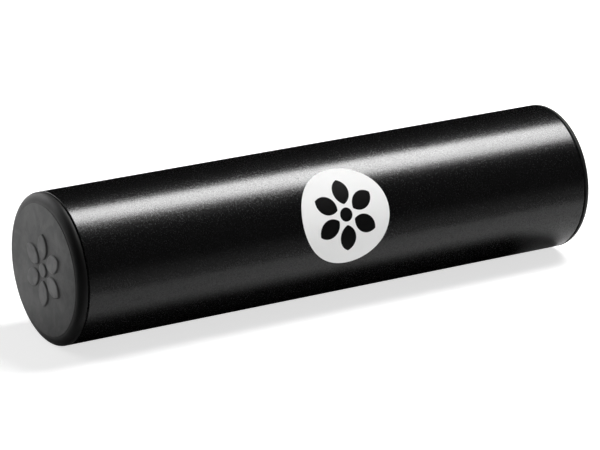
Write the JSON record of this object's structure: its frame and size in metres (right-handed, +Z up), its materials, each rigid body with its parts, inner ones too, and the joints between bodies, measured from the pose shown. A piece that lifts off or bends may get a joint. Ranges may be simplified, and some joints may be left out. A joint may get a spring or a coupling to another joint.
{
  "type": "percussion tube shaker",
  "caption": "Hand-held tube shaker: a black metal tube closed by moulded rubber plug caps, with a round label and loose steel shot inside.",
  "frame": {"origin": "on the surface that the shaker lies on, below the middle of the tube", "axes": "+X along the tube from the near cap to the far cap, +Z up, -Y towards the side with the label"},
  "size_m": [0.2394, 0.06, 0.0599],
  "materials": {
    "black_tube": "black satin coating with a fine even grain",
    "cap_rubber": "moulded black rubber, matt, slightly greyed",
    "label_film": "white film with a plain black rosette",
    "steel_shot": "polished bearing-grade steel"
  },
  "bodies": {
    "shell": {"shaker_tube": "black_tube", "near_end_cap": "cap_rubber", "far_end_cap": "cap_rubber", "round_label": "label_film"},
    "charge": {"shot_pilot": "steel_shot"},
    "middle_near_shot": {"shot_middle_near_1": "steel_shot", "shot_middle_near_2": "steel_shot"},
    "middle_far_shot": {"shot_middle_far_1": "steel_shot", "shot_middle_far_2": "steel_shot"},
    "floor_front_1_shot": {"shot_floor_front_1_1": "steel_shot", "shot_floor_front_1_2": "steel_shot", "shot_floor_front_1_3": "steel_shot", "shot_floor_front_1_4": "steel_shot", "shot_floor_front_1_5": "steel_shot", "shot_floor_front_1_6": "steel_shot"},
    "floor_front_2_shot": {"shot_floor_front_2_1": "steel_shot", "shot_floor_front_2_2": "steel_shot", "shot_floor_front_2_3": "steel_shot", "shot_floor_front_2_4": "steel_shot", "shot_floor_front_2_5": "steel_shot", "shot_floor_front_2_6": "steel_shot"},
    "floor_front_3_shot": {"shot_floor_front_3_1": "steel_shot", "shot_floor_front_3_2": "steel_shot", "shot_floor_front_3_3": "steel_shot", "shot_floor_front_3_4": "steel_shot", "shot_floor_front_3_5": "steel_shot", "shot_floor_front_3_6": "steel_shot"},
    "floor_rear_1_shot": {"shot_floor_rear_1_1": "steel_shot", "shot_floor_rear_1_2": "steel_shot", "shot_floor_rear_1_3": "steel_shot", "shot_floor_rear_1_4": "steel_shot", "shot_floor_rear_1_5": "steel_shot", "shot_floor_rear_1_6": "steel_shot"},
    "floor_rear_2_shot": {"shot_floor_rear_2_1": "steel_shot", "shot_floor_rear_2_2": "steel_shot", "shot_floor_rear_2_3": "steel_shot", "shot_floor_rear_2_4": "steel_shot", "shot_floor_rear_2_5": "steel_shot", "shot_floor_rear_2_6": "steel_shot"},
    "floor_rear_3_shot": {"shot_floor_rear_3_1": "steel_shot", "shot_floor_rear_3_2": "steel_shot", "shot_floor_rear_3_3": "steel_shot", "shot_floor_rear_3_4": "steel_shot", "shot_floor_rear_3_5": "steel_shot", "shot_floor_rear_3_6": "steel_shot"},
    "upper_front_shot": {"shot_upper_front_1": "steel_shot", "shot_upper_front_2": "steel_shot", "shot_upper_front_3": "steel_shot", "shot_upper_front_4": "steel_shot", "shot_upper_front_5": "steel_shot", "shot_upper_front_6": "steel_shot"},
    "upper_rear_shot": {"shot_upper_rear_1": "steel_shot", "shot_upper_rear_2": "steel_shot", "shot_upper_rear_3": "steel_shot", "shot_upper_rear_4": "steel_shot", "shot_upper_rear_5": "steel_shot", "shot_upper_rear_6": "steel_shot"}
  },
  "joints": [
    {"name": "charge_roll", "type": "hinge", "parent": "shell", "child": "charge", "pos_m": [0, 0, 0.02994], "axis": [1, 0, 0], "continuous": true},
    {"name": "middle_near_run", "type": "slide", "parent": "charge", "child": "middle_near_shot", "axis": [1, 0, 0], "range_m": [-0.085, 0]},
    {"name": "middle_far_run", "type": "slide", "parent": "charge", "child": "middle_far_shot", "axis": [1, 0, 0], "range_m": [0, 0.085]},
    {"name": "floor_front_1_run", "type": "slide", "parent": "charge", "child": "floor_front_1_shot", "axis": [1, 0, 0], "range_m": [-0.082, 0.082]},
    {"name": "floor_front_2_run", "type": "slide", "parent": "charge", "child": "floor_front_2_shot", "axis": [1, 0, 0], "range_m": [-0.082, 0.082]},
    {"name": "floor_front_3_run", "type": "slide", "parent": "charge", "child": "floor_front_3_shot", "axis": [1, 0, 0], "range_m": [-0.082, 0.082]},
    {"name": "floor_rear_1_run", "type": "slide", "parent": "charge", "child": "floor_rear_1_shot", "axis": [1, 0, 0], "range_m": [-0.082, 0.082]},
    {"name": "floor_rear_2_run", "type": "slide", "parent": "charge", "child": "floor_rear_2_shot", "axis": [1, 0, 0], "range_m": [-0.082, 0.082]},
    {"name": "floor_rear_3_run", "type": "slide", "parent": "charge", "child": "floor_rear_3_shot", "axis": [1, 0, 0], "range_m": [-0.082, 0.082]},
    {"name": "upper_front_run", "type": "slide", "parent": "charge", "child": "upper_front_shot", "axis": [1, 0, 0], "range_m": [-0.096, 0.096]},
    {"name": "upper_rear_run", "type": "slide", "parent": "charge", "child": "upper_rear_shot", "axis": [1, 0, 0], "range_m": [-0.096, 0.096]}
  ]
}
